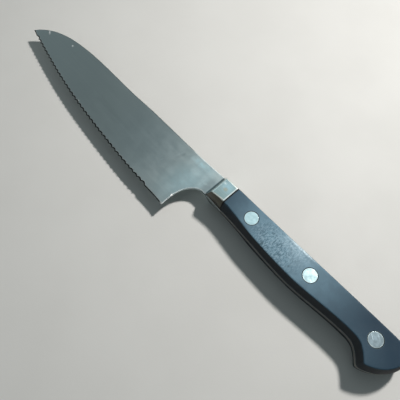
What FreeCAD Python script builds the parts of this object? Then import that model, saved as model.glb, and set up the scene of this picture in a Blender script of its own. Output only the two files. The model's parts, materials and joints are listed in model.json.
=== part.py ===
"""Serrated utility knife with a full tang, a welded bolster and a riveted handle.

The knife is drawn lying on its right side. +X runs from the point to the butt,
+Y from the cutting edge to the spine and +Z out of the left side. While it is
drawn, x = 0 is the joint between bolster and handle, y = 0 is the line of the
rivets and z = 0 is the middle of the steel. All sizes are in millimetres and
all angles in degrees.
"""
import FreeCAD, Part
import math
import os
from collections import namedtuple

Vector = FreeCAD.Vector

# Blade
BLADE_LENGTH = 150.0        # from the foot of the bolster to the point
POINT_DROP = 8.4            # of the point below the rivet line
HEEL_SETBACK = 10.9         # of the heel in front of the foot of the bolster
HEEL_DROP = 25.3            # of the heel below the rivet line
EDGE_MIDDLE_X = 81.2        # of the middle of the edge in front of the foot of the bolster
EDGE_MIDDLE_DROP = 21.5     # of the middle of the edge below the rivet line
EDGE_MIDDLE_SLOPE = 6.2     # of the edge there
POINT_EDGE_SLOPE = 16.5     # of the edge at the point
NECK_TOP = 7.6              # of the spine where it meets the bolster
NECK_SLOPE = 3.7            # of the spine there
NECK_BELLY = 5.7            # of the underside of the neck below the rivet line
SPINE_MIDDLE_X = 65.8       # of the middle of the spine in front of the foot of the bolster
SPINE_MIDDLE_HEIGHT = 6.5   # of the middle of the spine above the rivet line
SPINE_MIDDLE_SLOPE = 2.5    # of the spine there
SWEEP_START_X = 126.5       # of the place where the spine begins to drop to the point
SWEEP_START_HEIGHT = 4.4
SWEEP_START_SLOPE = 10.0
POINT_SPINE_SLOPE = 56.0    # of the spine at the point
CHOIL_MIDDLE_X = 9.2        # of the middle of the choil in front of the foot of the bolster
CHOIL_MIDDLE_DROP = 11.2    # of the middle of the choil below the rivet line
CHOIL_MIDDLE_SLOPE = 62.0   # of the choil there
CHOIL_HEEL_SLOPE = 95.0     # of the choil at the heel
NECK_LENGTH = 2.0           # straight underside between choil and bolster
SPINE_THICKNESS = 2.1       # of the blade at the spine over the heel
POINT_THICKNESS = 1.2       # of the blade at the spine near the point
EDGE_THICKNESS = 0.6        # of the steel behind the edge, before the edge is ground
BLADE_EDGE_ROUND = 0.2      # of the edges along the spine and the choil
RIM_HEIGHT = 0.7            # of the narrow bevel on the left side
RIM_DEPTH = 0.08            # of that bevel into the steel
BLADE_SECTIONS = (0.0, 0.12, 0.3, 0.5, 0.7, 0.85, 1.0)  # shares of the edge's length

# Serration, ground from the right side only
TOOTH_PITCH = 3.19
GULLET_DEPTH = 1.05         # of the bite between two tooth points
GRIND_ANGLE = 15.0          # between the right side of the blade and the ground edge
PLAIN_HEEL = 14.2           # plain edge in front of the heel
PLAIN_POINT = 4.7           # plain edge behind the point

# Tang and handle
TANG_THICKNESS = 2.4
HANDLE_THICKNESS = 15.5
HANDLE_LENGTH = 104.6       # behind the bolster
GRIP_TOP = 7.9              # of the spine side of the handle at the bolster
GRIP_BELLY = 6.1            # of the belly of the handle at the bolster
SHOULDER_X = 22.0           # of the place where the belly wall is steepest, behind the bolster
SHOULDER_DROP = 7.15        # of that place below the rivet line
SHOULDER_HEADING = 176.0
SWELL_X = 45.0              # of the deepest place of the belly behind the bolster
SWELL_DROP = 8.3            # of that place below the rivet line
WAIST_SETBACK = 25.1        # of the narrowest place in front of the butt
WAIST_DROP = 5.8
HOOK_ROOT_SETBACK = 19.1    # of the middle of the curve from the waist to the hook
HOOK_ROOT_DROP = 7.3
HOOK_ROOT_HEADING = 146.0
HOOK_FRONT_SETBACK = 14.7   # of the front of the hook in front of the butt
HOOK_FRONT_DROP = 11.35
HOOK_FRONT_HEADING = 131.0
HOOK_BACK_SETBACK = 11.4    # of the back of the hook in front of the butt
HOOK_BACK_DROP = 11.9
HOOK_BACK_HEADING = -158.0
HOOK_TIGHTNESS = 1.3        # how far the hook is pulled out to a corner
BUTT_TOP = 8.9              # of the spine side of the handle at the butt
BUTT_ROUND = 8.6            # length of the rounding of the spine into the butt
BUTT_MIDDLE = 3.0           # height at which the butt reaches furthest back

# How far the handle's walls lean in from the tang to its flat sides
SPINE_LEAN = 1.8
BUTT_LEAN = 2.0
HOOK_BACK_LEAN = 1.4
HOOK_LEAN = 1.6
WAIST_LEAN = 1.2
SWELL_LEAN = 1.4
SHOULDER_LEAN = 1.0
GRIP_LEAN = 2.4
HALFWAY_LEAN = 0.3          # share of the lean that a wall has halfway out
SCALE_EDGE_ROUND = 0.6

# Bolster
BOLSTER_FACE_LENGTH = 8.0
BOLSTER_FOOT_LENGTH = 11.0
BOLSTER_FRONT_LEAN = 1.0    # of its belly wall at the front
BOLSTER_EDGE_ROUND = 0.4

# Two-piece rivets
RIVET_FIRST = 15.0          # of the first rivet behind the bolster
RIVET_LAST = 15.8           # of the last rivet in front of the butt
RIVET_NAMES = ("front", "middle", "rear")
RIVET_HEAD_DIAMETER = 7.0
RIVET_HEAD_HEIGHT = 2.6
SOCKET_DIAMETER = 4.8
PIN_DIAMETER = 3.0
RIVET_CLEARANCE = 0.02      # around a head, a socket or a pin in what holds it
RIVET_RIM = 0.15            # chamfer round the head
PIN_LENGTH = 9.0
SOCKET_END_GAP = 0.4        # between the end of the socket and the head of the pin

# Headings of the outlines, counted round from the way to the butt
TO_BUTT = 0.0
TO_POINT = 180.0
TO_EDGE = -90.0

# Allowances of the drawing
ARC_REACH = 2 / 3           # of a curve's handles along a half circle, as a share of its width
OVERCUT = 4.0               # how far a cut runs past what it trims
SAME_PLACE = 1e-3           # largest distance between two places that are the same

# Places that follow from the sizes
FOOT_X = -BOLSTER_FOOT_LENGTH
POINT_X = FOOT_X - BLADE_LENGTH
HEEL_X = FOOT_X - HEEL_SETBACK
HALF_TANG = TANG_THICKNESS / 2
HALF_HANDLE = HANDLE_THICKNESS / 2
RIVET_SEAT = HALF_HANDLE - RIVET_HEAD_HEIGHT
RIVET_PITCH = (HANDLE_LENGTH - RIVET_FIRST - RIVET_LAST) / (len(RIVET_NAMES) - 1)
RIVET_PLACES = [RIVET_FIRST + RIVET_PITCH * index for index in range(len(RIVET_NAMES))]

# A place on an outline: where it is, which way the outline runs there, how far
# the wall leans in from there to the flat side, and how far the curve that
# leaves it is pulled out to a corner.
Knot = namedtuple("Knot", "x y heading lean tightness", defaults=(0.0, 1.0))


def direction(heading):
    """The unit vector of a heading in the plane of the blade."""
    angle = math.radians(heading)
    return Vector(math.cos(angle), math.sin(angle), 0)


def leaned(knot, share):
    """The place of a knot once the wall has leaned in by a share of its lean."""
    inward = direction(knot.heading + TO_EDGE)
    return Vector(knot.x, knot.y, 0) + inward * (knot.lean * share)


def curve(first, last, share=0.0):
    """A smooth edge between two knots, an arc where their headings allow it."""
    start = leaned(first, share)
    end = leaned(last, share)
    turn = (last.heading - first.heading + 180) % 360 - 180
    reach = (end - start).Length * ARC_REACH / (1 + math.cos(math.radians(turn / 2)))
    bezier = Part.BezierCurve()
    bezier.setPoles([
        start,
        start + direction(first.heading) * reach * first.tightness,
        end - direction(last.heading) * reach * first.tightness,
        end,
    ])
    return bezier.toShape()


def chain(knots, share=0.0):
    """Smooth edges through all knots, one for each pair of neighbours."""
    return [curve(first, last, share) for first, last in zip(knots, knots[1:])]


def closed(edges):
    """A wire of edges in order, closed by a straight line from last to first."""
    start = edges[0].firstVertex(True).Point
    end = edges[-1].lastVertex(True).Point
    return Part.Wire(edges + [Part.makeLine(end, start)])


def plate(wire, low, high):
    """A plate with an outline, from one height to another."""
    face = Part.Face(wire)
    face.translate(Vector(0, 0, low))
    return face.extrude(Vector(0, 0, high - low))


def cylinder(x, radius, low, high):
    """A round bar on the rivet line, from one height to another."""
    return Part.makeCylinder(radius, high - low, Vector(x, 0, low))


def spine_knots():
    """The spine from the bolster to the point."""
    return [
        Knot(FOOT_X, NECK_TOP, TO_POINT + NECK_SLOPE),
        Knot(FOOT_X - SPINE_MIDDLE_X, SPINE_MIDDLE_HEIGHT, TO_POINT + SPINE_MIDDLE_SLOPE),
        Knot(FOOT_X - SWEEP_START_X, SWEEP_START_HEIGHT, TO_POINT + SWEEP_START_SLOPE),
        Knot(POINT_X, -POINT_DROP, TO_POINT + POINT_SPINE_SLOPE),
    ]


def choil_knots():
    """The choil from the heel, and the underside of the neck up to the bolster."""
    return [
        Knot(HEEL_X, -HEEL_DROP, CHOIL_HEEL_SLOPE),
        Knot(FOOT_X - CHOIL_MIDDLE_X, -CHOIL_MIDDLE_DROP, CHOIL_MIDDLE_SLOPE),
        Knot(FOOT_X - NECK_LENGTH, -NECK_BELLY, TO_BUTT),
        Knot(FOOT_X, -NECK_BELLY, TO_BUTT),
    ]


def cutting_edge():
    """The line of the tooth points, from the point to the heel."""
    line = Part.BSplineCurve()
    line.interpolate(
        Points=[
            Vector(POINT_X, -POINT_DROP, 0),
            Vector(FOOT_X - EDGE_MIDDLE_X, -EDGE_MIDDLE_DROP, 0),
            Vector(HEEL_X, -HEEL_DROP, 0),
        ],
        Tangents=[
            direction(-POINT_EDGE_SLOPE),
            direction(-EDGE_MIDDLE_SLOPE),
            direction(TO_BUTT),
        ],
        TangentFlags=[True, True, True],
    )
    return line.toShape()


def blade_outline():
    """The blade's outline, open past the cutting edge, which the sections give."""
    spine = spine_knots()
    choil = choil_knots()
    point = leaned(spine[-1], 0)
    heel = leaned(choil[0], 0)
    past_point = point + direction(spine[-1].heading) * OVERCUT
    past_heel = heel - direction(choil[0].heading) * OVERCUT
    below_point = Vector(past_point.x, past_heel.y, 0)
    below_edge = Part.makePolygon([point, past_point, below_point, past_heel, heel]).Edges
    return closed(chain(spine) + below_edge + chain(choil))


def blade_section(x, edge_y, spine_half, edge_half, rim_depth):
    """The blade's section at x: flanks that narrow from the spine to the edge."""
    top = NECK_TOP + RIM_HEIGHT
    growth = (spine_half - edge_half) / (SPINE_MIDDLE_HEIGHT - edge_y)
    top_half = spine_half + growth * (top - SPINE_MIDDLE_HEIGHT)
    corners = [
        Vector(x, top, top_half),
        Vector(x, edge_y + RIM_HEIGHT, edge_half),
        Vector(x, edge_y, edge_half - rim_depth),
        Vector(x, edge_y, -edge_half),
        Vector(x, top, -top_half),
    ]
    return Part.makePolygon(corners + corners[:1])


def blade_blank(edge):
    """The ground blade before its outline and its teeth are cut."""
    sections = []
    for share in BLADE_SECTIONS:
        place = edge.valueAt(edge.getParameterByLength(edge.Length * share))
        spine_half = (POINT_THICKNESS + (SPINE_THICKNESS - POINT_THICKNESS) * share) / 2
        sections.append(blade_section(place.x, place.y, spine_half, EDGE_THICKNESS / 2, RIM_DEPTH))
    sections.append(blade_section(FOOT_X, -HEEL_DROP, HALF_TANG, HALF_TANG, 0.0))
    return Part.makeLoft(sections, True, False)


def gullet(edge, start, end):
    """The arc of one gullet between two tooth points at distances along the edge."""
    first, middle, last = [
        edge.getParameterByLength(distance) for distance in (start, (start + end) / 2, end)
    ]
    along = edge.tangentAt(middle)
    bottom = edge.valueAt(middle) + Vector(-along.y, along.x, 0) * GULLET_DEPTH
    return Part.Arc(edge.valueAt(first), bottom, edge.valueAt(last)).toShape()


def toothed_line(edge):
    """The edges of the serrated line from the point to the heel, in order."""
    teeth = int((edge.Length - PLAIN_HEEL - PLAIN_POINT) / TOOTH_PITCH)
    last_tooth = edge.Length - PLAIN_HEEL
    tooth_points = [last_tooth - index * TOOTH_PITCH for index in range(teeth, -1, -1)]
    arcs = [gullet(edge, start, end) for start, end in zip(tooth_points, tooth_points[1:])]
    point = edge.valueAt(edge.FirstParameter)
    heel = edge.valueAt(edge.LastParameter)
    before = Part.makeLine(point, arcs[0].firstVertex(True).Point)
    after = Part.makeLine(arcs[-1].lastVertex(True).Point, heel)
    return [before] + arcs + [after]


def ground_away(edge):
    """The steel that is ground away from the right side to make the edge."""
    line = toothed_line(edge)
    point = line[0].firstVertex(True).Point
    heel = line[-1].lastVertex(True).Point
    low = Vector(0, -HEEL_DROP, 0)
    past_point = point - Vector(OVERCUT, 0, 0)
    past_heel = heel + Vector(OVERCUT, 0, 0)
    rest = Part.makePolygon([heel, past_heel, past_heel + low, past_point + low, past_point, point])
    face = Part.Face(Part.Wire(line + rest.Edges))
    angle = math.radians(GRIND_ANGLE)
    up_the_face = Vector(0, math.cos(angle), -math.sin(angle))
    through = TANG_THICKNESS / math.sin(angle)
    before = through / 2
    left_edge = Vector(0, 0, EDGE_THICKNESS / 2 - RIM_DEPTH)
    face.translate(left_edge - up_the_face * before)
    return face.extrude(up_the_face * (before + through))


def handle_knots():
    """The handle's outline, from the spine side round the butt to the belly."""
    butt = HANDLE_LENGTH
    return [
        Knot(0, GRIP_TOP, TO_BUTT, SPINE_LEAN),
        Knot(butt - BUTT_ROUND, BUTT_TOP, TO_BUTT, SPINE_LEAN),
        Knot(butt, BUTT_MIDDLE, TO_EDGE, BUTT_LEAN),
        Knot(butt - HOOK_BACK_SETBACK, -HOOK_BACK_DROP, HOOK_BACK_HEADING, HOOK_BACK_LEAN, HOOK_TIGHTNESS),
        Knot(butt - HOOK_FRONT_SETBACK, -HOOK_FRONT_DROP, HOOK_FRONT_HEADING, HOOK_LEAN),
        Knot(butt - HOOK_ROOT_SETBACK, -HOOK_ROOT_DROP, HOOK_ROOT_HEADING, HOOK_LEAN),
        Knot(butt - WAIST_SETBACK, -WAIST_DROP, TO_POINT, WAIST_LEAN),
        Knot(SWELL_X, -SWELL_DROP, TO_POINT, SWELL_LEAN),
        Knot(SHOULDER_X, -SHOULDER_DROP, SHOULDER_HEADING, SHOULDER_LEAN),
        Knot(0, -GRIP_BELLY, TO_POINT, GRIP_LEAN),
    ]


def tang_outline():
    """The outline of the tang, from the foot of the bolster to the butt."""
    handle = chain(handle_knots())
    grip_top = Vector(0, GRIP_TOP, 0)
    grip_belly = Vector(0, -GRIP_BELLY, 0)
    top = Part.makeLine(Vector(FOOT_X, NECK_TOP, 0), grip_top)
    belly = Part.makeLine(grip_belly, Vector(FOOT_X, -NECK_BELLY, 0))
    return closed([top] + handle + [belly])


def edges_along(solid, outline):
    """The edges of a solid that run beside an outline, above and below it."""
    found = []
    for edge in solid.Edges:
        middle = edge.valueAt((edge.FirstParameter + edge.LastParameter) / 2)
        foot = Part.Vertex(middle.x, middle.y, 0)
        beside = edge.firstVertex().Point.z * edge.lastVertex().Point.z > 0
        if beside and min(part.distToShape(foot)[0] for part in outline) < SAME_PLACE:
            found.append(edge)
    return found


def make_blade():
    """Blade, neck and full tang, which are one piece of steel."""
    edge = cutting_edge()
    outline = plate(blade_outline(), -HANDLE_THICKNESS, HANDLE_THICKNESS)
    blank = blade_blank(edge).common(outline)
    rounded = edges_along(blank, chain(spine_knots()) + chain(choil_knots()))
    blade = blank.makeFillet(BLADE_EDGE_ROUND, rounded).cut(ground_away(edge))
    tang = plate(tang_outline(), -HALF_TANG, HALF_TANG)
    holes = [
        cylinder(x, SOCKET_DIAMETER / 2 + RIVET_CLEARANCE, -TANG_THICKNESS, TANG_THICKNESS)
        for x in RIVET_PLACES
    ]
    return blade.fuse(tang.cut(holes)).removeSplitter()


def wall_levels():
    """Heights of the handle's wall sections, each with its share of the lean."""
    halfway = (HALF_TANG + HALF_HANDLE) / 2
    return [(HALF_TANG, 0), (halfway, HALFWAY_LEAN), (HALF_HANDLE, 1)]


def side_edges(solid, height, joint_x):
    """The edges round a flat side at a height, apart from the one at the joint."""
    found = []
    for edge in solid.Edges:
        box = edge.BoundBox
        flat = abs(box.ZMin - height) < SAME_PLACE and abs(box.ZMax - height) < SAME_PLACE
        at_joint = abs(box.XMin - joint_x) < SAME_PLACE and abs(box.XMax - joint_x) < SAME_PLACE
        if flat and not at_joint:
            found.append(edge)
    return found


def scale_body():
    """The left scale without its holes, from the tang out to its flat side."""
    sections = []
    for height, lean in wall_levels():
        section = closed(chain(handle_knots(), lean))
        section.translate(Vector(0, 0, height))
        sections.append(section)
    body = Part.makeLoft(sections, True, False)
    return body.makeFillet(SCALE_EDGE_ROUND, side_edges(body, HALF_HANDLE, 0))


def make_scale():
    """The left scale, with a seat and a hole for each rivet."""
    head = RIVET_HEAD_DIAMETER / 2 + RIVET_CLEARANCE
    socket = SOCKET_DIAMETER / 2 + RIVET_CLEARANCE
    cuts = []
    for x in RIVET_PLACES:
        cuts.append(cylinder(x, head, RIVET_SEAT, HANDLE_THICKNESS))
        cuts.append(cylinder(x, socket, 0, HANDLE_THICKNESS))
    return scale_body().cut(cuts)


def make_bolster():
    """The left half of the bolster, which leans in as the scale behind it does."""
    slope = (BOLSTER_FOOT_LENGTH - BOLSTER_FACE_LENGTH) / (HALF_HANDLE - HALF_TANG)
    sections = []
    for height, lean in wall_levels():
        front = FOOT_X + slope * (height - HALF_TANG)
        corners = [
            Vector(front, NECK_TOP - SPINE_LEAN * lean, height),
            Vector(0, GRIP_TOP - SPINE_LEAN * lean, height),
            Vector(0, -GRIP_BELLY + GRIP_LEAN * lean, height),
            Vector(front, -NECK_BELLY + BOLSTER_FRONT_LEAN * lean, height),
        ]
        sections.append(Part.makePolygon(corners + corners[:1]))
    body = Part.makeLoft(sections, True, False)
    return body.makeFillet(BOLSTER_EDGE_ROUND, side_edges(body, HALF_HANDLE, 0))


def make_socket(x):
    """The left half of a rivet: a head on a hollow socket."""
    end = SOCKET_END_GAP - RIVET_SEAT
    head = cylinder(x, RIVET_HEAD_DIAMETER / 2, RIVET_SEAT, HALF_HANDLE)
    head = head.makeChamfer(RIVET_RIM, side_edges(head, HALF_HANDLE, x))
    bore = cylinder(x, PIN_DIAMETER / 2 + RIVET_CLEARANCE, end, end + PIN_LENGTH)
    return head.fuse(cylinder(x, SOCKET_DIAMETER / 2, end, RIVET_SEAT)).cut(bore)


def make_pin(x):
    """The right half of a rivet: a head on a pin, pressed into the socket."""
    head = cylinder(x, RIVET_HEAD_DIAMETER / 2, -HALF_HANDLE, -RIVET_SEAT)
    head = head.makeChamfer(RIVET_RIM, side_edges(head, -HALF_HANDLE, x))
    return head.fuse(cylinder(x, PIN_DIAMETER / 2, -RIVET_SEAT, PIN_LENGTH - RIVET_SEAT))


def other_side(shape):
    """The same piece for the right side of the knife."""
    return shape.mirror(Vector(0, 0, 0), Vector(0, 0, 1))


def make_knife():
    """Every piece by name, drawn round the middle of the steel."""
    scale = make_scale()
    bolster = make_bolster()
    pieces = {
        "blade": make_blade(),
        "bolster_left": bolster,
        "bolster_right": other_side(bolster),
        "scale_left": scale,
        "scale_right": other_side(scale),
    }
    for name, x in zip(RIVET_NAMES, RIVET_PLACES):
        pieces["rivet_socket_" + name] = make_socket(x)
        pieces["rivet_pin_" + name] = make_pin(x)
    return pieces


def main():
    """Lay the knife on its right side, centred on the origin, and write it."""
    os.makedirs("parts", exist_ok=True)
    pieces = make_knife()
    box = Part.makeCompound(list(pieces.values())).optimalBoundingBox()
    to_origin = Vector(-box.Center.x, -box.Center.y, HALF_HANDLE)
    for name, piece in pieces.items():
        piece.translate(to_origin)
        piece.exportStep(os.path.join("parts", name + ".step"))


main()
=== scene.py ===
"""Looks of a serrated utility knife, built round its packed construction model.

Lengths are in metres in the construction model's own frame: the knife lies on
its right side, +X runs from the point to the butt, +Y from the cutting edge to
the spine and +Z up out of the left side, with the table at z = 0.
"""
import json
import logging
import math
from collections.abc import Callable, Sequence
from dataclasses import dataclass
from enum import Enum

import bpy
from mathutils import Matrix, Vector

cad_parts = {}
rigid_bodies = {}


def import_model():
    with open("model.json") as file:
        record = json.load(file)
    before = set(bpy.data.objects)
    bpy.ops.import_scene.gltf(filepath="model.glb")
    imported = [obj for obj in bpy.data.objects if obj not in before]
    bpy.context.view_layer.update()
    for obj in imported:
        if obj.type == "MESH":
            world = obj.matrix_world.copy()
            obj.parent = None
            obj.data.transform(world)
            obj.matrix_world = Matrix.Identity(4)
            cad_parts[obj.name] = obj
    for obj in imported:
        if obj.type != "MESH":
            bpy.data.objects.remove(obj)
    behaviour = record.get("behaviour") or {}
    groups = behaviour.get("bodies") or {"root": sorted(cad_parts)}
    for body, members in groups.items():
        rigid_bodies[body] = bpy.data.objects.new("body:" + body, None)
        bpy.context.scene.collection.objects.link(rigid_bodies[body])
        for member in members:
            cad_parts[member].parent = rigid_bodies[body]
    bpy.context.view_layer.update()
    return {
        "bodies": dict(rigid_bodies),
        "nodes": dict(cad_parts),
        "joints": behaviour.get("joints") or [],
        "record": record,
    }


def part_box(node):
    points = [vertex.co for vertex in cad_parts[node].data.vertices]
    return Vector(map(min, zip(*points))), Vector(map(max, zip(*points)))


LOG = logging.getLogger("knife")
MM = 0.001

Colour = tuple[float, float, float]
Place = tuple[float, float, float]
Value = float | Colour | bpy.types.NodeSocket
Shares = tuple[float, ...]

FACE = 9 * MM                       # height of the blade's marks, just over its left face
DEEP = 5 * MM                       # reach of a mark above and below its face
ENDLESS = 1.0                       # reach of a patch in a direction in which it has no end
DISTANCE = (0.60, 0.60, 0.585)      # colour into which the table passes far off
BEVEL_SAMPLES = 6
WALL = (0.3, 0.7)                   # how squarely a wall faces a side, from not at all to fully

TO_BUTT = (1.0, 0.0, 0.0)
TO_POINT = (-1.0, 0.0, 0.0)
TO_SPINE = (0.0, 1.0, 0.0)
TO_BELLY = (0.0, -1.0, 0.0)
UP = (0.0, 0.0, 1.0)

SEEN_RAYS = ("Is Camera Ray", "Is Glossy Ray", "Is Transmission Ray")


class Effect(Enum):
    """Surface effects that several finishes share, each one a shader node group."""

    GROUND_LINES = "ground lines"
    MOTTLING = "mottling"
    MARKS = "marks"
    PATCH = "patch"
    NEAR_EDGE = "near edge"


class Graph:
    """Fills one node tree, with a node and its links in one call."""

    COLOUR_INPUTS = (6, 7)          # the sockets of a Mix node that hold its colours
    COLOUR_OUTPUT = 2

    def __init__(self, tree: bpy.types.NodeTree) -> None:
        """Empty the tree.

        Args:
            tree: The tree of a material, a node group or the world.
        """
        self.tree = tree
        tree.nodes.clear()

    def add(self, kind: str, sockets: dict | None = None, **settings: object) -> bpy.types.Node:
        """Add a node.

        Args:
            kind: The type of the node, as Blender names it.
            sockets: What goes into its inputs, a value or another node's output.
            settings: The node's own properties.

        Returns:
            The new node.
        """
        node = self.tree.nodes.new(kind)
        for name, setting in settings.items():
            setattr(node, name, setting)
        for name, value in (sockets or {}).items():
            if isinstance(value, bpy.types.NodeSocket):
                self.tree.links.new(value, node.inputs[name])
            else:
                node.inputs[name].default_value = value
        return node

    def math(self, operation: str, first: Value, second: Value = 0.0) -> bpy.types.NodeSocket:
        """Add a sum of two numbers, or another operation on them, and return its output."""
        node = self.add("ShaderNodeMath", {0: first, 1: second}, operation=operation)
        return node.outputs["Value"]

    def vector(self, operation: str, first: Value, second: Value) -> bpy.types.NodeSocket:
        """Add an operation on two vectors and return its vector."""
        node = self.add("ShaderNodeVectorMath", {0: first, 1: second}, operation=operation)
        return node.outputs["Vector"]

    def measure(self, operation: str, *vectors: Value) -> bpy.types.NodeSocket:
        """Add an operation that makes one number of one or two vectors, and return it."""
        node = self.add("ShaderNodeVectorMath", dict(enumerate(vectors)), operation=operation)
        return node.outputs["Value"]

    def ramp(
        self, value: Value, start: float, end: Value, low: float = 0.0, high: float = 1.0
    ) -> bpy.types.NodeSocket:
        """Add a smooth step.

        Args:
            value: What the step follows.
            start: The value at which it begins.
            end: The value at which it is complete.
            low: What it gives before the start.
            high: What it gives past the end.

        Returns:
            The output of the step.
        """
        names = ("Value", "From Min", "From Max", "To Min", "To Max")
        sockets = dict(zip(names, (value, start, end, low, high)))
        node = self.add("ShaderNodeMapRange", sockets, interpolation_type="SMOOTHSTEP")
        return node.outputs["Result"]

    def blend(self, share: Value, first: Value, second: Value) -> bpy.types.NodeSocket:
        """Add a blend of two colours and return it.

        Args:
            share: How much of the second colour there is.
            first: The colour at a share of 0.
            second: The colour at a share of 1.

        Returns:
            The blended colour.
        """
        node = self.add("ShaderNodeMix", {0: share}, data_type="RGBA")
        for index, colour in zip(self.COLOUR_INPUTS, (first, second)):
            if isinstance(colour, bpy.types.NodeSocket):
                self.tree.links.new(colour, node.inputs[index])
            else:
                node.inputs[index].default_value = (*colour, 1.0)
        return node.outputs[self.COLOUR_OUTPUT]

    def chain(self, operation: str, values: Sequence[Value]) -> bpy.types.NodeSocket:
        """Join several numbers by one operation.

        Args:
            operation: The operation, as Blender names it.
            values: The numbers.

        Returns:
            What the operation makes of them.
        """
        total = values[0]
        for value in values[1:]:
            total = self.math(operation, total, value)
        return total

    def sum(self, *values: Value) -> bpy.types.NodeSocket:
        """Add several numbers up and return the sum."""
        return self.chain("ADD", values)

    def product(self, *values: Value) -> bpy.types.NodeSocket:
        """Multiply several numbers and return the product."""
        return self.chain("MULTIPLY", values)

    def mixture(self, masks: Sequence[Value], shares: Shares) -> bpy.types.NodeSocket:
        """Add several masks up, each one times its share, and return the sum."""
        parts = zip(masks, shares, strict=True)
        return self.sum(*(self.product(mask, share) for mask, share in parts))

    def wave(self, turns: Value) -> bpy.types.NodeSocket:
        """Add a wave between 0 and 1 along a number of radians and return it."""
        half = 0.5
        return self.sum(self.product(self.math("SINE", turns), half), half)

    def seen(self) -> bpy.types.NodeSocket:
        """Mask of what the camera sees, by itself, in a mirror or through something clear."""
        path = self.add("ShaderNodeLightPath").outputs
        return self.chain("MAXIMUM", [path[ray] for ray in SEEN_RAYS])


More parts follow.
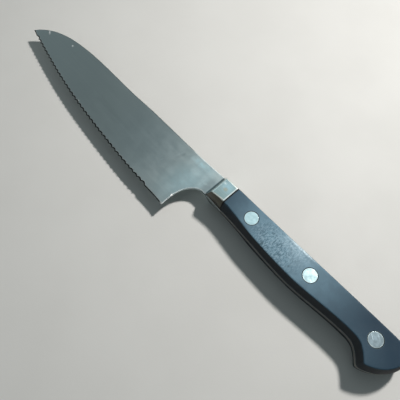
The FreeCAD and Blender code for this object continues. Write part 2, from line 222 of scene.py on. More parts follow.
class EffectShelf:
    """Keeps one node group for each shared effect and places it in materials."""

    INPUTS = {
        Effect.GROUND_LINES: {"Position": "Vector", "Length": "Float", "Width": "Float"},
        Effect.MOTTLING: {"Position": "Vector", "Size": "Float"},
        Effect.MARKS: {
            "Position": "Vector",
            "Angle": "Float",
            "Spacing": "Float",
            "Stretch": "Float",
            "Share": "Float",
            "Size": "Float",
        },
        Effect.PATCH: {
            "Position": "Vector",
            "Centre": "Vector",
            "Reach": "Vector",
            "Angle": "Float",
            "Core": "Float",
        },
        Effect.NEAR_EDGE: {"Width": "Float"},
    }
    LINE_CONTRAST = (0.3, 0.7)
    LINE_DETAIL = 3.0
    BLOTCH_CONTRAST = (0.32, 0.68)
    BLOTCH_DETAIL = 5.0
    MARK_DEPTH = 0.15
    MARK_SPREAD = 0.22
    MARK_SOFTNESS = 0.12
    EDGE_TURN = (0.998, 0.93)

    def __init__(self) -> None:
        """Build every group once."""
        fill: dict[Effect, Callable[[Graph, bpy.types.Node], bpy.types.NodeSocket]] = {
            Effect.GROUND_LINES: self._ground_lines,
            Effect.MOTTLING: self._mottling,
            Effect.MARKS: self._marks,
            Effect.PATCH: self._patch,
            Effect.NEAR_EDGE: self._near_edge,
        }
        self.trees = {effect: self._group(effect, fill[effect]) for effect in Effect}

    def _group(
        self, effect: Effect, fill: Callable[[Graph, bpy.types.Node], bpy.types.NodeSocket]
    ) -> bpy.types.NodeTree:
        """Make a node group with named inputs and one output called Mask.

        Args:
            effect: Which effect it is.
            fill: The method that adds its nodes and returns its mask.

        Returns:
            The group's tree.
        """
        tree = bpy.data.node_groups.new(effect.value, "ShaderNodeTree")
        for name, kind in self.INPUTS[effect].items():
            tree.interface.new_socket(name=name, in_out="INPUT", socket_type="NodeSocket" + kind)
        tree.interface.new_socket(name="Mask", in_out="OUTPUT", socket_type="NodeSocketFloat")
        graph = Graph(tree)
        mask = fill(graph, graph.add("NodeGroupInput"))
        graph.add("NodeGroupOutput", {"Mask": mask})
        return tree

    def place(self, graph: Graph, effect: Effect, **inputs: Value) -> bpy.types.NodeSocket:
        """Put an effect into a material.

        Args:
            graph: The material's graph.
            effect: Which effect it is.
            inputs: What goes into the group, by the name of the input.

        Returns:
            The effect's mask.
        """
        node = graph.add("ShaderNodeGroup", node_tree=self.trees[effect])
        for name, value in inputs.items():
            if isinstance(value, bpy.types.NodeSocket):
                graph.tree.links.new(value, node.inputs[name])
            else:
                node.inputs[name].default_value = value
        return node.outputs["Mask"]

    @staticmethod
    def _ground_lines(graph: Graph, given: bpy.types.Node) -> bpy.types.NodeSocket:
        """Fine lines along X, as a belt or a wheel leaves them.

        Args:
            graph: The group's graph.
            given: The node that holds the group's inputs.

        Returns:
            The mask.
        """
        along = graph.math("DIVIDE", 1.0, given.outputs["Length"])
        across = graph.math("DIVIDE", 1.0, given.outputs["Width"])
        scale = graph.add("ShaderNodeCombineXYZ", {"X": along, "Y": across, "Z": across})
        place = graph.vector("MULTIPLY", given.outputs["Position"], scale.outputs["Vector"])
        sockets = {"Vector": place, "Scale": 1.0, "Detail": EffectShelf.LINE_DETAIL}
        noise = graph.add("ShaderNodeTexNoise", sockets)
        return graph.ramp(noise.outputs["Fac"], *EffectShelf.LINE_CONTRAST)

    @staticmethod
    def _mottling(graph: Graph, given: bpy.types.Node) -> bpy.types.NodeSocket:
        """Soft blotches of one size, with smaller ones in them.

        Args:
            graph: The group's graph.
            given: The node that holds the group's inputs.

        Returns:
            The mask.
        """
        scale = graph.math("DIVIDE", 1.0, given.outputs["Size"])
        detail = EffectShelf.BLOTCH_DETAIL
        sockets = {"Vector": given.outputs["Position"], "Scale": scale, "Detail": detail}
        noise = graph.add("ShaderNodeTexNoise", sockets)
        return graph.ramp(noise.outputs["Fac"], *EffectShelf.BLOTCH_CONTRAST)

    @staticmethod
    def _marks(graph: Graph, given: bpy.types.Node) -> bpy.types.NodeSocket:
        """Scattered marks: specks where they aren't stretched, and else scratches.

        Args:
            graph: The group's graph.
            given: The node that holds the group's inputs.

        Returns:
            The mask.
        """
        sockets = {"Vector": given.outputs["Position"], "Angle": given.outputs["Angle"]}
        turned = graph.add("ShaderNodeVectorRotate", sockets, rotation_type="Z_AXIS")
        across = graph.math("DIVIDE", 1.0, given.outputs["Spacing"])
        along = graph.math("DIVIDE", across, given.outputs["Stretch"])
        deep = graph.product(across, EffectShelf.MARK_DEPTH)
        scale = graph.add("ShaderNodeCombineXYZ", {"X": along, "Y": across, "Z": deep})
        place = graph.vector("MULTIPLY", turned.outputs["Vector"], scale.outputs["Vector"])
        cells = graph.add("ShaderNodeTexVoronoi", {"Vector": place, "Scale": 1.0})
        chance = graph.add("ShaderNodeSeparateColor", {"Color": cells.outputs["Color"]})
        chosen = graph.math("LESS_THAN", chance.outputs["Red"], given.outputs["Share"])
        spread = graph.product(chance.outputs["Green"], EffectShelf.MARK_SPREAD)
        size = graph.math("ADD", spread, given.outputs["Size"])
        inside = graph.math("SUBTRACT", size, cells.outputs["Distance"])
        return graph.product(chosen, graph.ramp(inside, 0.0, EffectShelf.MARK_SOFTNESS))

    @staticmethod
    def _patch(graph: Graph, given: bpy.types.Node) -> bpy.types.NodeSocket:
        """A soft oval patch, full inside its core, with its length turned by an angle from X.

        Args:
            graph: The group's graph.
            given: The node that holds the group's inputs.

        Returns:
            The mask.
        """
        away = graph.vector("SUBTRACT", given.outputs["Position"], given.outputs["Centre"])
        back = graph.product(given.outputs["Angle"], -1.0)
        sockets = {"Vector": away, "Angle": back}
        turned = graph.add("ShaderNodeVectorRotate", sockets, rotation_type="Z_AXIS")
        share = graph.vector("DIVIDE", turned.outputs["Vector"], given.outputs["Reach"])
        return graph.ramp(graph.measure("LENGTH", share), 1.0, given.outputs["Core"])

    @staticmethod
    def _near_edge(graph: Graph, given: bpy.types.Node) -> bpy.types.NodeSocket:
        """The places within a width of an edge, where the finishes lay painted highlights, painted shade
        and worn grey.

        Args:
            graph: The group's graph.
            given: The node that holds the group's inputs.

        Returns:
            The mask.
        """
        sockets = {"Radius": given.outputs["Width"]}
        bevel = graph.add("ShaderNodeBevel", sockets, samples=BEVEL_SAMPLES)
        surface = graph.add("ShaderNodeNewGeometry")
        turn = graph.measure("DOT_PRODUCT", bevel.outputs["Normal"], surface.outputs["Normal"])
        return graph.ramp(turn, *EffectShelf.EDGE_TURN)


@dataclass(frozen=True)
class Mark:
    """A mark on a face, in the colour that it has there, with its sizes in millimetres; marks of use,
    painted highlights and painted shade are all laid as marks.
    """

    x: float
    y: float
    length: float
    width: float
    colour: Colour
    turn_deg: float = 0.0
    core: float = 0.35
    strength: float = 1.0
    broken: float = 0.0


@dataclass(frozen=True)
class Scatter:
    """Marks scattered over a surface: how they lie, how far apart, how long, how many, how big."""

    turn_deg: float
    spacing: float
    stretch: float
    share: float
    size: float


class Finish:
    """A material under construction: its graph, its places and its shader."""

    MARK_GAPS = 1.6 * MM

    def __init__(self, name: str, shelf: EffectShelf) -> None:
        """Start a material.

        Args:
            name: The material's name.
            shelf: The shared effects.
        """
        self.material = bpy.data.materials.new(name)
        self.material.use_nodes = True
        self.shelf = shelf
        self.graph = Graph(self.material.node_tree)
        self.position = self.graph.add("ShaderNodeTexCoord").outputs["Object"]

    def effect(self, effect: Effect, **inputs: Value) -> bpy.types.NodeSocket:
        """Place a shared effect, which follows the object's own coordinates.

        Args:
            effect: Which effect it is.
            inputs: What goes into the group, by the name of the input.

        Returns:
            The effect's mask.
        """
        if "Position" in EffectShelf.INPUTS[effect]:
            inputs.setdefault("Position", self.position)
        return self.shelf.place(self.graph, effect, **inputs)

    def patch(
        self, centre: Place, reach: Place, core: float = 0.35, turn_deg: float = 0.0
    ) -> bpy.types.NodeSocket:
        """Place a soft patch.

        Args:
            centre: Its middle.
            reach: How far it goes along its length, its width and its depth.
            core: The share of its reach inside which it is full.
            turn_deg: The turn of its length from X towards Y.

        Returns:
            The patch's mask.
        """
        angle = math.radians(turn_deg)
        return self.effect(Effect.PATCH, Centre=centre, Reach=reach, Core=core, Angle=angle)

    def scattered(self, marks: Scatter) -> bpy.types.NodeSocket:
        """Scatter marks over the surface.

        Args:
            marks: How they are scattered.

        Returns:
            Their mask.
        """
        return self.effect(
            Effect.MARKS,
            Angle=math.radians(marks.turn_deg),
            Spacing=marks.spacing,
            Stretch=marks.stretch,
            Share=marks.share,
            Size=marks.size,
        )

    def mark(self, mark: Mark, face: float) -> bpy.types.NodeSocket:
        """Place one mark.

        Args:
            mark: The mark.
            face: The height of the face that it is on.

        Returns:
            Its mask.
        """
        centre = (mark.x * MM, mark.y * MM, face)
        reach = (mark.length * MM, mark.width * MM, DEEP)
        return self.patch(centre, reach, mark.core, mark.turn_deg)

    def facing(self, direction: Place, start: float, end: float) -> bpy.types.NodeSocket:
        """Mask of the surface that faces a direction, by the share of its normal that does."""
        normal = self.graph.add("ShaderNodeNewGeometry").outputs["Normal"]
        return self.graph.ramp(self.graph.measure("DOT_PRODUCT", normal, direction), start, end)

    def beyond(self, direction: Place, start: float, end: float) -> bpy.types.NodeSocket:
        """Mask of what lies past a line across a direction, from one distance to another."""
        reach = self.graph.measure("DOT_PRODUCT", self.position, direction)
        return self.graph.ramp(reach, start, end)

    def together(self, marks: tuple[Mark, ...], face: float) -> bpy.types.NodeSocket:
        """Place several marks.

        Args:
            marks: The marks.
            face: The height of the face that they are on.

        Returns:
            One mask of them all.
        """
        total = 0.0
        for mark in marks:
            total = self.graph.math("MAXIMUM", total, self.mark(mark, face))
        return total

    def marked(
        self, colour: Value, marks: tuple[Mark, ...], face: float, gap: float = MARK_GAPS
    ) -> bpy.types.NodeSocket:
        """Lay marks over a colour.

        Args:
            colour: The colour under them.
            marks: The marks, the lowest first.
            face: The height of the face that they are on.
            gap: The size of the gaps that break them up.

        Returns:
            The colour with the marks.
        """
        gaps = self.effect(Effect.MOTTLING, Size=gap)
        for mark in marks:
            kept = self.graph.ramp(gaps, 0.0, 1.0, mark.strength, mark.strength * (1 - mark.broken))
            share = self.graph.product(self.mark(mark, face), kept)
            colour = self.graph.blend(share, colour, mark.colour)
        return colour

    def shader(
        self,
        colour: Value,
        roughness: Value,
        height: Value,
        relief: float,
        rounding: float,
        metallic: float = 0.0,
        specular: float = 0.5,
    ) -> bpy.types.NodeSocket:
        """Add the shader.

        Args:
            colour: The base colour.
            roughness: The roughness.
            height: The relief, from 0 to 1.
            relief: How far apart a height of 0 and of 1 lie.
            rounding: The radius to which sharp edges look worn round.
            metallic: 1 for a metal.
            specular: The strength of the reflection off what is no metal.

        Returns:
            The shader's output.
        """
        graph = self.graph
        worn = graph.add("ShaderNodeBevel", {"Radius": rounding}, samples=BEVEL_SAMPLES)
        sockets = {
            "Height": height,
            "Strength": 1.0,
            "Distance": relief,
            "Normal": worn.outputs["Normal"],
        }
        bump = graph.add("ShaderNodeBump", sockets)
        sockets = {
            "Base Color": colour,
            "Roughness": roughness,
            "Normal": bump.outputs["Normal"],
            "Metallic": metallic,
            "Specular IOR Level": specular,
        }
        return graph.add("ShaderNodeBsdfPrincipled", sockets).outputs["BSDF"]

    def close(self, surface: bpy.types.NodeSocket) -> bpy.types.Material:
        """Give the material its surface and return it."""
        self.graph.add("ShaderNodeOutputMaterial", {"Surface": surface})
        return self.material


@dataclass(frozen=True)
class BladeSteel:
    """Satin steel, ground along the blade, with the marks of use that it has, painted highlights along
    its edges, a painted reflection on the tang and painted shade in its gullets and in front of the
    bolster.
    """

    colour: Colour = (0.49, 0.56, 0.56)
    stained: Colour = (0.40, 0.47, 0.48)
    # near white, for the painted highlights along the edges and the painted glints
    bright: Colour = (0.92, 0.93, 0.92)
    pale: Colour = (0.74, 0.84, 0.86)
    dark: Colour = (0.26, 0.31, 0.33)
    # darker steel for the darker places and for the painted shade in front of the bolster
    darker_tone: Colour = (0.36, 0.43, 0.45)
    # paler and bluer steel at the neck: worn by handling, with a painted highlight
    near_neck: Colour = (0.58, 0.80, 0.86)
    shade: Colour = (0.13, 0.16, 0.17)
    # painted contact shadow at the foot of the bolster
    dark_line: Colour = (0.05, 0.09, 0.10)
    # painted shade in the gullets of the teeth
    gullet_shade: Colour = (0.015, 0.015, 0.015)
    # painted reflection on the belly side of the tang
    tang_reflection: Colour = (0.30, 0.28, 0.25)
    roughness: float = 0.28
    stain_shares: Shares = (0.25, 0.35, 0.4)            # fine lines, streaks, blotches
    rough_shares: Shares = (0.06, 0.07, 0.06, 0.22)     # fine lines, blotches, scratches, glinting
    height_shares: Shares = (0.6, -0.4)                 # fine lines, scratches
    line_length: float = 26 * MM
    line_width: float = 0.22 * MM
    streak_length: float = 40 * MM
    streak_width: float = 1.5 * MM
    blotch_size: float = 6 * MM
    scratches: Scatter = Scatter(turn_deg=3, spacing=1.1 * MM, stretch=22.0, share=0.15, size=0.04)
    crossing: Scatter = Scatter(turn_deg=-70, spacing=1.5 * MM, stretch=4.5, share=0.4, size=0.04)
    edge_width: float = 0.85 * MM
    gullet_width: float = 0.65 * MM
    edge_brightness: float = 0.7
    edge_shade: float = 0.9
    crossing_strength: float = 0.3
    relief: float = 0.006 * MM
    rounding: float = 0.45 * MM
    neck: Place = (6 * MM, 5 * MM, FACE)
    neck_reach: Place = (55 * MM, 60 * MM, 60 * MM)
    neck_core: float = 0.2
    away_from_neck: float = 0.25
    heel: float = 5.5 * MM
    heel_blend: float = 1.5 * MM
    neck_start: float = -3 * MM
    neck_blend: float = 4 * MM
    joint: float = 28 * MM
    joint_blend: float = 0.5 * MM
    spine_side: Place = (0.06, 1.0, 0.0)
    spine_blend: float = 2 * MM

    def marks(self) -> tuple[Mark, ...]:
        """The darker places, the painted shade and painted contact shadow in front of the bolster, and
        the pale and bluish places at the neck, the bluish ones worn by handling and painted as a
        highlight.

        Returns:
            The marks, the lowest first.
        """
        return (
            Mark(-30, 2, 36, 30, self.darker_tone, turn_deg=-8, core=0.0, strength=0.6, broken=0.2),
            # the neck, worn by handling, with a painted bluish highlight over it
            Mark(6.0, 0.0, 16, 24, self.near_neck, turn_deg=-20, core=0.0, strength=0.6, broken=0.2),
            Mark(4.0, 12.6, 11, 3.4, self.near_neck, turn_deg=3, core=0.0, strength=0.7, broken=0.5),
            Mark(10.2, 8.0, 8.0, 2.0, self.pale, turn_deg=100, core=0.0, strength=0.36, broken=0.7),
            # painted shade on the neck in front of the bolster
            Mark(15.5, 4.0, 12, 3.6, self.darker_tone, turn_deg=90, core=0.2, strength=0.8, broken=0.3),
            Mark(14.2, 8.5, 7, 2.6, self.darker_tone, turn_deg=90, core=0.0, strength=0.5, broken=0.3),
            Mark(-12, 2, 12, 18, self.darker_tone, core=0.0, strength=0.3, broken=0.2),
            Mark(13.2, 6.4, 2.6, 1.1, self.pale, turn_deg=20, core=0.0, strength=0.5, broken=0.6),
            # painted contact shadow at the foot of the bolster
            Mark(17.1, 8.0, 30, 0.65, self.dark_line, turn_deg=90, core=0.3, strength=0.85),
            Mark(-7.4, 8.4, 4.2, 1.1, self.dark, turn_deg=75, core=0.0, strength=0.45, broken=0.6),
            Mark(-9.0, 8.0, 4.6, 0.9, self.pale, turn_deg=75, core=0.0, strength=0.22, broken=0.6),
            Mark(-4.0, 12.0, 3.0, 1.0, self.dark, turn_deg=60, core=0.0, strength=0.3, broken=0.6),
        )

    def dents_and_glints(self) -> tuple[Mark, ...]:
        """The nick by the point and the bright specks, painted near white as glints.

        Returns:
            The marks, the lowest first.
        """
        return (
            Mark(-124.7, 5.5, 2.5, 0.7, self.bright, turn_deg=-34, core=0.3),
            Mark(-106.6, 9.5, 0.8, 0.8, self.bright, core=0.3),
            Mark(-72.7, -11.0, 0.8, 0.8, self.bright, core=0.5),
            Mark(5.8, -10.0, 0.8, 0.8, self.bright, core=0.5),
        )

    def make(self, shelf: EffectShelf) -> bpy.types.Material:
        """Make the material.

        Args:
            shelf: The shared effects.

        Returns:
            The material.
        """
        finish = Finish("blade_satin_steel", shelf)
        graph = finish.graph
        fine = finish.effect(Effect.GROUND_LINES, Length=self.line_length, Width=self.line_width)
        broad = finish.effect(Effect.GROUND_LINES, Length=self.streak_length, Width=self.streak_width)
        blotches = finish.effect(Effect.MOTTLING, Size=self.blotch_size)
        neck = finish.patch(self.neck, self.neck_reach, core=self.neck_core)
        near_neck = graph.ramp(neck, 0.0, 1.0, self.away_from_neck, 1.0)
        scratches = finish.scattered(self.scratches)
        crossing = finish.scattered(self.crossing)
        edges = finish.effect(Effect.NEAR_EDGE, Width=self.edge_width)
        stains = graph.product(blotches, near_neck)
        streaks = graph.product(broad, near_neck)
        worn = graph.mixture((fine, streaks, stains), self.stain_shares)
        colour = graph.blend(worn, self.colour, self.stained)
        colour = graph.blend(graph.product(crossing, neck, self.crossing_strength), colour, self.pale)
        colour = finish.marked(colour, self.marks(), FACE)
        above = finish.beyond(self.spine_side, 0.0, self.spine_blend)
        past_heel = finish.beyond(TO_BUTT, self.heel - self.heel_blend, self.heel)
        at_neck = finish.beyond(TO_BUTT, self.neck_start - self.neck_blend, self.neck_start)
        handle_side = graph.math("MAXIMUM", past_heel, graph.product(at_neck, above))
        outer = graph.math("SUBTRACT", 1.0, handle_side)
        dim = graph.product(edges, above, outer)
        lit = graph.product(edges, handle_side)
        # painted highlight along the blade's edges, where rounded edges would catch the light
        colour = graph.blend(graph.product(edges, self.edge_brightness), colour, self.bright)
        colour = graph.blend(graph.product(dim, self.edge_shade), colour, self.shade)
        # the nick and specks: real marks, painted near white as glints
        dents_and_glints = finish.together(self.dents_and_glints(), FACE)
        colour = graph.blend(dents_and_glints, colour, self.bright)
        # painted shade: the gullets of the teeth are painted near black
        toothed = graph.product(graph.math("SUBTRACT", 1.0, above), outer)
        gullets = finish.effect(Effect.NEAR_EDGE, Width=self.gullet_width)
        colour = graph.blend(graph.product(gullets, toothed), colour, self.gullet_shade)
        # painted reflection: the belly side of the tang is painted a dark warm grey
        tang = finish.beyond(TO_BUTT, self.joint, self.joint + self.joint_blend)
        belly = finish.facing(TO_BELLY, *WALL)
        colour = graph.blend(graph.product(tang, belly), colour, self.tang_reflection)
        glinting = graph.math("MAXIMUM", dents_and_glints, lit)
        uneven = graph.mixture((fine, stains, scratches, glinting), self.rough_shares)
        roughness = graph.sum(self.roughness, uneven)
        height = graph.mixture((fine, scratches), self.height_shares)
        surface = finish.shader(colour, roughness, height, self.relief, self.rounding, metallic=1.0)
        return finish.close(surface)


@dataclass(frozen=True)
class BolsterSteel:
    """Pale brushed steel with painted highlights along its edges, painted shade on its belly walls and a
    dark line against the scales.
    """

    joint: float
    face: float
    spine: float
    front: float
    colour: Colour = (0.50, 0.63, 0.63)
    shaded: Colour = (0.38, 0.48, 0.48)
    # painted reflection in the corner by the spine
    pale: Colour = (0.58, 0.80, 0.88)
    # painted highlight spot
    highlight_spot: Colour = (0.90, 1.00, 1.00)
    tarnish: Colour = (0.54, 0.52, 0.42)
    # painted highlight on the edges
    edge_highlight: Colour = (0.93, 0.92, 0.86)
    # painted highlights along the rims of the face
    rim_front: Colour = (0.66, 0.80, 0.80)
    rim_joint: Colour = (0.98, 1.00, 0.98)
    rim_belly: Colour = (0.68, 0.67, 0.62)
    rim_width: float = 0.6 * MM
    rim_blend: float = 0.35 * MM
    # painted shade on the walls that face the belly
    side: Colour = (0.06, 0.06, 0.05)
    roughness: float = 0.17
    shade_shares: Shares = (0.6, 0.4)                   # fine lines, blotches
    rough_shares: Shares = (0.06, 0.04, 0.21)           # fine lines, blotches, glinting
    line_length: float = 12 * MM
    line_width: float = 0.5 * MM
    blotch_size: float = 4 * MM
    relief: float = 0.006 * MM
    rounding: float = 0.4 * MM
    grime: Colour = (0.01, 0.01, 0.01)
    grime_reach: float = 0.42 * MM
    grime_core: float = 0.4
    edge_band_width: float = 0.8 * MM
    edge_band_strength: float = 0.9
    spine_line: float = 0.9 * MM
    spine_line_full: float = 0.4 * MM
    spine_line_strength: float = 0.6
    flat: tuple[float, float] = (0.5, 0.8)
    belly_side: Place = (0.124, -0.992, 0.0)
    belly_edge: float = -1.0 * MM

    def marks(self) -> tuple[Mark, ...]:
        """The painted shade on the belly half, the painted reflection in the pale corner by the spine
        with a painted highlight spot in it, and the tarnished spot beside it.

        Returns:
            The marks, the lowest first.
        """
        return (
            Mark(24.0, 3.4, 7.0, 4.4, self.shaded, core=0.0, strength=0.7),
            # painted reflection and painted highlight in the corner by the spine
            Mark(24.0, 11.0, 5.4, 4.4, self.pale, core=0.0, strength=0.8),
            Mark(21.6, 11.6, 1.4, 0.9, self.highlight_spot, core=0.0, strength=0.9),
            Mark(24.1, 9.4, 1.9, 1.7, self.tarnish, core=0.1, strength=0.85),
        )

    def rims(self, finish: Finish) -> tuple[tuple[Colour, bpy.types.NodeSocket], ...]:
        """The light rims of the face, painted highlights where its edges catch the light.

        Args:
            finish: The material that they go into.

        Returns:
            Each rim's colour and mask: along the belly, in front and against the scales.
        """
        front = self.front + self.rim_width
        joint = self.joint - self.grime_reach - self.rim_width
        belly = self.belly_edge - self.rim_width
        return (
            (self.rim_belly, finish.beyond(self.belly_side, belly - self.rim_blend, belly)),
            (self.rim_front, finish.beyond(TO_POINT, -front - self.rim_blend, -front)),
            (self.rim_joint, finish.beyond(TO_BUTT, joint, joint + self.rim_blend)),
        )

    def make(self, shelf: EffectShelf) -> bpy.types.Material:
        """Make the material.

        Args:
            shelf: The shared effects.

        Returns:
            The material.
        """
        finish = Finish("bolster_brushed_steel", shelf)
        graph = finish.graph
        fine = finish.effect(Effect.GROUND_LINES, Length=self.line_length, Width=self.line_width)
        blotches = finish.effect(Effect.MOTTLING, Size=self.blotch_size)
        near_edges = finish.effect(Effect.NEAR_EDGE, Width=self.edge_band_width)
        dark_line = (self.grime_reach, ENDLESS, ENDLESS)
        grimy = finish.patch((self.joint, 0.0, 0.0), dark_line, core=self.grime_core)
        worn = graph.mixture((fine, blotches), self.shade_shares)
        colour = graph.blend(worn, self.colour, self.shaded)
        colour = finish.marked(colour, self.marks(), self.face)
        line = finish.beyond(TO_SPINE, self.spine - self.spine_line, self.spine - self.spine_line_full)
        top = finish.facing(UP, *self.flat)
        # painted highlights along the rims of the face
        for rim, share in self.rims(finish):
            colour = graph.blend(graph.product(share, top), colour, rim)
        # painted highlight along the spine edge of the face and along all its edges
        glinting = graph.product(line, top, self.spine_line_strength)
        edge_highlight = graph.math("MAXIMUM", graph.product(near_edges, self.edge_band_strength), glinting)
        colour = graph.blend(edge_highlight, colour, self.edge_highlight)
        # painted shade: the walls that face the belly are painted near black
        colour = graph.blend(finish.facing(TO_BELLY, *WALL), colour, self.side)
        colour = graph.blend(grimy, colour, self.grime)
        uneven = graph.mixture((fine, blotches, glinting), self.rough_shares)
        roughness = graph.sum(self.roughness, uneven)
        surface = finish.shader(colour, roughness, fine, self.relief, self.rounding, metallic=1.0)
        return finish.close(surface)


@dataclass(frozen=True)
class RivetSteel:
    """Bright metal, faced off flush with the scale in fine rings, duller where it is worn, with a painted
    highlight round the rim of its head.
    """

    name: str
    centre: Place
    colour: Colour
    darker_tone: Colour
    rim: Colour
    dullness: float
    roughness: float = 0.15
    dull_shares: Shares = (0.7, 0.3)                    # blotches, rings
    rough_shares: Shares = (0.06, 0.06)                 # blotches, scratches
    height_shares: Shares = (-0.6, 0.5, 0.4)            # scratches, blotches, rings
    blotch_size: float = 1.6 * MM
    scratches: Scatter = Scatter(turn_deg=35, spacing=0.7 * MM, stretch=9.0, share=0.35, size=0.1)
    ring_pitch: float = 0.45 * MM
    relief: float = 0.004 * MM
    rounding: float = 0.02 * MM
    head_radius: float = 3.5 * MM
    rim_width: float = 0.6 * MM
    rim_full: float = 0.2 * MM

    def make(self, shelf: EffectShelf) -> bpy.types.Material:
        """Make the material.

        Args:
            shelf: The shared effects.

        Returns:
            The material.
        """
        finish = Finish(self.name, shelf)
        graph = finish.graph
        blotches = finish.effect(Effect.MOTTLING, Size=self.blotch_size)
        scratches = finish.scattered(self.scratches)
        away = graph.vector("SUBTRACT", finish.position, self.centre)
        radius = graph.measure("LENGTH", graph.vector("MULTIPLY", away, (1.0, 1.0, 0.0)))
        rings = graph.wave(graph.product(radius, math.tau / self.ring_pitch))
        inner = self.head_radius - self.rim_width
        # painted highlight round the rim of the head
        edge_highlight = graph.ramp(radius, inner, self.head_radius - self.rim_full)
        worn = graph.mixture((blotches, rings), self.dull_shares)
        colour = graph.blend(worn, self.colour, self.darker_tone)
        colour = graph.blend(edge_highlight, colour, self.rim)
        uneven = graph.mixture((blotches, scratches), self.rough_shares)
        roughness = graph.sum(self.roughness + self.dullness, uneven)
        height = graph.mixture((scratches, blotches, rings), self.height_shares)
        surface = finish.shader(colour, roughness, height, self.relief, self.rounding, metallic=1.0)
        return finish.close(surface)


@dataclass(frozen=True)
class ScalePlastic:
    """Black moulded plastic, speckled and worn grey where the hand holds it, with a painted sheen over
    that place, painted highlights along its edges and painted shade on its walls.
    """

    joint: float
    face: float
    rivets: tuple[float, ...]
    rivet_line: float
    colour: Colour = (0.010, 0.032, 0.056)
    # worn grey and painted sheen
    grey_and_sheen: Colour = (0.170, 0.285, 0.360)
    # paler plastic: the light flecks, and the painted sheen by the spine
    pale: Colour = (0.36, 0.48, 0.56)
    # painted highlight on the edge by the spine
    edge_highlight: Colour = (0.62, 0.74, 0.80)
    speck: Colour = (0.035, 0.080, 0.100)
    # painted shade on the walls
    side: Colour = (0.007, 0.011, 0.015)
    grime: Colour = (0.004, 0.005, 0.006)
    roughness: float = 0.55
    rough_shares: Shares = (0.05, 0.1, 0.05)            # blotches, dark dashes, grain
    height_shares: Shares = (0.5, -0.8, -0.5)           # grain, dark dashes, scratches
    shine: float = 0.22
    relief: float = 0.012 * MM
    rounding: float = 0.4 * MM
    grain_size: float = 0.5 * MM
    blotch_size: float = 5 * MM
    dash_length: float = 0.6 * MM
    dash_width: float = 1.4 * MM
    dark_dashes: tuple[float, float] = (0.50, 0.90)
    light_dashes: tuple[float, float] = (0.45, 0.05)
    dark_strength: float = 0.55
    light_strength: float = 0.38
    scratches: Scatter = Scatter(turn_deg=-6, spacing=1.4 * MM, stretch=11.0, share=0.2, size=0.04)
    edge_band_width: float = 0.7 * MM
    edge_band_strength: float = 0.55
    mark_gaps: float = 0.8 * MM
    flat: tuple[float, float] = (0.2, 0.9)
    least_grey: float = 0.8
    # the place worn grey by the hand, with a painted sheen
    held_sheen: Place = (64 * MM, 12 * MM, 0.0)
    held_sheen_reach: Place = (50 * MM, 34 * MM, 2.4 * MM)
    speckled: Place = (61 * MM, 7.5 * MM, 0.0)
    speckled_reach: Place = (19 * MM, 10.5 * MM, 2.4 * MM)
    speckled_core: float = 0.3
    grime_reach: float = 0.7 * MM
    rivet_ring: float = 3.85 * MM
    ring_core: float = 0.92

    def on_face(self, place: Place) -> Place:
        """The place on the left face, for a place that is given without its height."""
        return (place[0], place[1], self.face)

    def marks(self) -> tuple[Mark, ...]:
        """The grey butt, the dark flecks, and the painted sheen and painted highlight along the edge by
        the spine.

        Returns:
            The marks, the lowest first.
        """
        return (
            Mark(113, -1, 20, 15, self.grey_and_sheen, core=0.0, strength=0.16, broken=0.2),
            Mark(70.7, 4.2, 1.9, 0.8, self.speck, turn_deg=75, core=0.0, strength=0.9, broken=0.4),
            Mark(55.0, 2.6, 1.6, 0.8, self.speck, turn_deg=80, core=0.2, strength=0.8),
            # painted sheen and painted highlight along the edge by the spine
            Mark(67.0, 12.4, 15, 3.8, self.pale, turn_deg=3, core=0.0, strength=0.8, broken=0.8),
            Mark(71.0, 9.0, 10, 6.0, self.pale, turn_deg=3, core=0.0, strength=0.2, broken=0.3),
            Mark(69.0, 14.4, 12, 1.0, self.edge_highlight, turn_deg=1, core=0.2, strength=1.0, broken=0.6),
        )

    def grimy(self, finish: Finish) -> bpy.types.NodeSocket:
        """Draw the dark lines against the bolster and round the rivets.

        Args:
            finish: The material that they go into.

        Returns:
            Their mask.
        """
        mask = finish.patch((self.joint, 0.0, 0.0), (self.grime_reach, ENDLESS, ENDLESS))
        ring = (self.rivet_ring, self.rivet_ring, ENDLESS)
        for place in self.rivets:
            around = finish.patch((place, self.rivet_line, 0.0), ring, core=self.ring_core)
            mask = finish.graph.math("MAXIMUM", mask, around)
        return mask

    def make(self, shelf: EffectShelf) -> bpy.types.Material:
        """Make the material.

        Args:
            shelf: The shared effects.

        Returns:
            The material.
        """
        finish = Finish("scale_black_plastic", shelf)
        graph = finish.graph
        held_sheen = finish.patch(self.on_face(self.held_sheen), self.held_sheen_reach, core=0.0)
        speckled = finish.patch(self.on_face(self.speckled), self.speckled_reach, core=self.speckled_core)
        grain = finish.effect(Effect.MOTTLING, Size=self.grain_size)
        blotches = finish.effect(Effect.MOTTLING, Size=self.blotch_size)
        dashes = finish.effect(Effect.GROUND_LINES, Length=self.dash_length, Width=self.dash_width)
        scratches = finish.scattered(self.scratches)
        near_edges = finish.effect(Effect.NEAR_EDGE, Width=self.edge_band_width)
        # worn grey and painted sheen where the hand holds the scale
        grey = graph.product(held_sheen, graph.ramp(blotches, 0.0, 1.0, self.least_grey, 1.0))
        colour = graph.blend(grey, self.colour, self.grey_and_sheen)
        lit = graph.product(graph.ramp(dashes, *self.light_dashes), speckled)
        colour = graph.blend(graph.product(lit, self.light_strength), colour, self.pale)
        spotted = graph.product(graph.ramp(dashes, *self.dark_dashes), speckled)
        colour = graph.blend(graph.product(spotted, self.dark_strength), colour, self.speck)
        colour = finish.marked(colour, self.marks(), self.face, self.mark_gaps)
        # painted shade: walls that don't face up are near black, darker than the top
        colour = graph.blend(finish.facing(UP, *self.flat), self.side, colour)
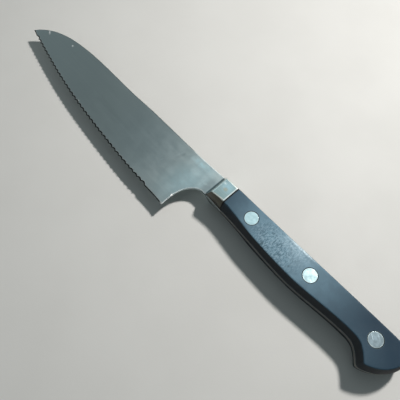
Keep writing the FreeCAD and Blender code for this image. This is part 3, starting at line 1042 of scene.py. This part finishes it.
        # lighter along the edges: worn grey with a painted highlight
        colour = graph.blend(graph.product(near_edges, self.edge_band_strength), colour, self.grey_and_sheen)
        colour = graph.blend(self.grimy(finish), colour, self.grime)
        uneven = graph.mixture((blotches, spotted, grain), self.rough_shares)
        roughness = graph.sum(self.roughness, uneven)
        height = graph.mixture((grain, spotted, scratches), self.height_shares)
        surface = finish.shader(
            colour, roughness, height, self.relief, self.rounding, specular=self.shine
        )
        return finish.close(surface)


@dataclass(frozen=True)
class TablePaint:
    """Plain pale paint, which stays as pale away from the lamp as it is beside the knife."""

    colour: Colour = (0.62, 0.61, 0.59)
    shaded: Colour = (0.60, 0.59, 0.57)
    roughness: tuple[float, float] = (0.6, 0.7)
    shine: float = 0.2
    blotch_size: float = 45 * MM
    grain_size: float = 0.8 * MM
    relief: float = 0.008 * MM
    near: float = 0.25
    far: float = 0.48

    def make(self, shelf: EffectShelf) -> bpy.types.Material:
        """Make the material.

        Args:
            shelf: The shared effects.

        Returns:
            The material.
        """
        finish = Finish("table_paint", shelf)
        graph = finish.graph
        blotches = finish.effect(Effect.MOTTLING, Size=self.blotch_size)
        grain = finish.effect(Effect.MOTTLING, Size=self.grain_size)
        colour = graph.blend(blotches, self.colour, self.shaded)
        roughness = graph.ramp(blotches, 0.0, 1.0, *self.roughness)
        paint = finish.shader(colour, roughness, grain, self.relief, 0.0, specular=self.shine)
        away = graph.ramp(graph.measure("LENGTH", finish.position), self.near, self.far)
        pale = graph.add("ShaderNodeEmission", {"Color": (*DISTANCE, 1.0)})
        share = graph.product(away, graph.seen())
        mixed = graph.add("ShaderNodeMixShader", {0: share, 1: paint, 2: pale.outputs["Emission"]})
        return finish.close(mixed.outputs["Shader"])


@dataclass
class Piece:
    """Something of the knife that takes its shape from the construction model."""

    frame: dict
    shelf: EffectShelf

    def dress(self, node: str, material: bpy.types.Material) -> None:
        """Give a node of the construction model its finish.

        Args:
            node: The node's name.
            material: Its new material.
        """
        shown = self.frame["nodes"][node]
        for slot in shown.material_slots:
            slot.material = material
        LOG.info("dressed %s in %s", node, material.name)


@dataclass
class Blade(Piece):
    """The blade, its neck and the full tang, which are one piece of steel."""

    def build(self) -> None:
        """Dress the steel."""
        self.dress("blade", BladeSteel().make(self.shelf))


@dataclass
class Bolster(Piece):
    """The two halves of the bolster."""

    spine_lean: float = 1.8 * MM
    face_length: float = 8.0 * MM

    def build(self) -> None:
        """Dress both halves alike."""
        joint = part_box("scale_left")[0].x
        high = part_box("bolster_left")[1]
        front = joint - self.face_length
        material = BolsterSteel(joint, high.z, high.y - self.spine_lean, front).make(self.shelf)
        for side in ("left", "right"):
            self.dress("bolster_" + side, material)


@dataclass
class Handle(Piece):
    """The two scales and the three rivets that hold them to the tang."""

    names: tuple[str, ...] = ("front", "middle", "rear")
    bright: Colour = (0.74, 0.94, 0.97)
    clouded: Colour = (0.66, 0.86, 0.90)
    dull: Colour = (0.58, 0.72, 0.79)
    dull_clouded: Colour = (0.37, 0.48, 0.54)
    # painted highlight round the rims of the rivet heads
    rim: Colour = (0.78, 0.92, 0.95)
    dullness: float = 0.06

    def rivet_place(self, name: str) -> Vector:
        """The middle of a rivet's head."""
        low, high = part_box("rivet_socket_" + name)
        return (low + high) / 2

    def rivet_steel(self, name: str, place: Vector) -> RivetSteel:
        """The finish of a rivet, of which the rear one is the dullest.

        Args:
            name: Which rivet it is.
            place: The middle of its head.

        Returns:
            The finish.
        """
        label = "rivet_steel_" + name
        if name == self.names[-1]:
            return RivetSteel(label, tuple(place), self.dull, self.dull_clouded, self.rim, self.dullness)
        return RivetSteel(label, tuple(place), self.bright, self.clouded, self.rim, 0.0)

    def build(self) -> None:
        """Dress the scales, and then each rivet as worn as it is."""
        places = {name: self.rivet_place(name) for name in self.names}
        low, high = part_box("scale_left")
        plastic = ScalePlastic(
            joint=low.x,
            face=high.z,
            rivets=tuple(place.x for place in places.values()),
            rivet_line=places[self.names[0]].y,
        ).make(self.shelf)
        for side in ("left", "right"):
            self.dress("scale_" + side, plastic)
        for name, place in places.items():
            steel = self.rivet_steel(name, place).make(self.shelf)
            self.dress("rivet_socket_" + name, steel)
            self.dress("rivet_pin_" + name, steel)


@dataclass
class Table:
    """The plain pale table under the knife."""

    shelf: EffectShelf
    reach: float = 4.0
    drop: float = 0.05 * MM

    def build(self) -> None:
        """Lay the table top just under the knife."""
        mesh = bpy.data.meshes.new("table_top")
        turns = ((-1, -1), (1, -1), (1, 1), (-1, 1))
        corners = [(x * self.reach, y * self.reach, -self.drop) for x, y in turns]
        mesh.from_pydata(corners, [], [(0, 1, 2, 3)])
        top = bpy.data.objects.new("table_top", mesh)
        bpy.context.scene.collection.objects.link(top)
        mesh.materials.append(TablePaint().make(self.shelf))
        LOG.info("laid the table")


@dataclass(frozen=True)
class Field:
    """A soft round field of light far off, full up to one angle and gone past the other."""

    direction: Place
    inner_deg: float
    outer_deg: float
    level: float


@dataclass
class Lighting:
    """One near lamp on the spine's side, soft fields overhead and a dim room round them."""

    fields: tuple[Field, ...] = (
        Field((-0.198, 0.316, 0.928), 7.0, 19.0, 0.49),
        Field((-0.64, 0.22, 0.74), 12.0, 34.0, 0.03),
        Field((-0.86, 0.20, 0.46), 8.0, 25.0, 0.18),
        Field((-0.36, -0.60, 0.70), 6.0, 21.0, 0.60),
    )
    room_level: float = 0.10
    horizon_level: float = 0.32
    horizon_low: float = 0.12
    horizon_high: float = 0.50
    backdrop_low: float = 0.20
    backdrop_high: float = 0.42
    tint: Colour = (0.84, 1.0, 1.04)
    lamp_place: Place = (55 * MM, 320 * MM, 440 * MM)
    lamp_size: float = 55 * MM
    lamp_power: float = 3.1
    lamp_tint: Colour = (1.0, 0.98, 0.95)

    def build(self) -> None:
        """Light the world and hang the lamp."""
        self._world()
        self._lamp()
        LOG.info("lit the scene")

    def _world(self) -> None:
        """Fill the world with the room, its pale horizon and the soft fields."""
        world = bpy.data.worlds.new("room")
        world.use_nodes = True
        bpy.context.scene.world = world
        graph = Graph(world.node_tree)
        direction = graph.add("ShaderNodeTexCoord").outputs["Generated"]
        rise = graph.add("ShaderNodeSeparateXYZ", {"Vector": direction}).outputs["Z"]
        horizon = graph.ramp(rise, self.horizon_high, self.horizon_low, 0.0, self.horizon_level)
        level = graph.sum(self.room_level, horizon)
        for field in self.fields:
            centre = Vector(field.direction).normalized()
            nearness = graph.measure("DOT_PRODUCT", direction, centre)
            start = math.cos(math.radians(field.outer_deg))
            end = math.cos(math.radians(field.inner_deg))
            level = graph.sum(level, graph.ramp(nearness, start, end, 0.0, field.level))
        room = graph.add("ShaderNodeBackground", {"Color": (*self.tint, 1.0), "Strength": level})
        backdrop = graph.add("ShaderNodeBackground", {"Color": (*DISTANCE, 1.0), "Strength": 1.0})
        low = graph.ramp(rise, self.backdrop_high, self.backdrop_low)
        share = graph.product(low, graph.seen())
        sockets = {0: share, 1: room.outputs["Background"], 2: backdrop.outputs["Background"]}
        mixed = graph.add("ShaderNodeMixShader", sockets)
        graph.add("ShaderNodeOutputWorld", {"Surface": mixed.outputs["Shader"]})

    def _lamp(self) -> None:
        """Hang the lamp that casts the knife's shadow, facing the middle of the knife."""
        data = bpy.data.lights.new("lamp", "AREA")
        data.shape = "DISK"
        data.size = self.lamp_size
        data.energy = self.lamp_power
        data.color = self.lamp_tint
        lamp = bpy.data.objects.new("lamp", data)
        bpy.context.scene.collection.objects.link(lamp)
        lamp.location = self.lamp_place
        lamp.rotation_euler = Vector(self.lamp_place).to_track_quat("Z", "Y").to_euler()


@dataclass
class Viewpoint:
    """The place and turn of the camera that took the photograph."""

    place: Place = (86.88 * MM, -59.33 * MM, 212.26 * MM)
    turn_deg: Place = (23.888, 0.927, 48.058)
    lens: float = 40.5
    sensor: float = 36.0
    nearest: float = 0.01

    def build(self) -> None:
        """Set the camera up and make it the scene's own."""
        data = bpy.data.cameras.new("camera")
        data.lens = self.lens
        data.sensor_width = self.sensor
        data.clip_start = self.nearest
        camera = bpy.data.objects.new("camera", data)
        bpy.context.scene.collection.objects.link(camera)
        camera.location = self.place
        camera.rotation_euler = [math.radians(angle) for angle in self.turn_deg]
        bpy.context.scene.camera = camera
        LOG.info("set the camera up")


def main() -> None:
    """Load the construction model and build everything round it."""
    logging.basicConfig(level=logging.INFO, format="%(name)s: %(message)s")
    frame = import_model()
    bpy.context.scene.view_settings.view_transform = "Standard"
    shelf = EffectShelf()
    for part in (
        Blade(frame, shelf),
        Bolster(frame, shelf),
        Handle(frame, shelf),
        Table(shelf),
        Lighting(),
        Viewpoint(),
    ):
        part.build()


if __name__ == "__main__":
    main()
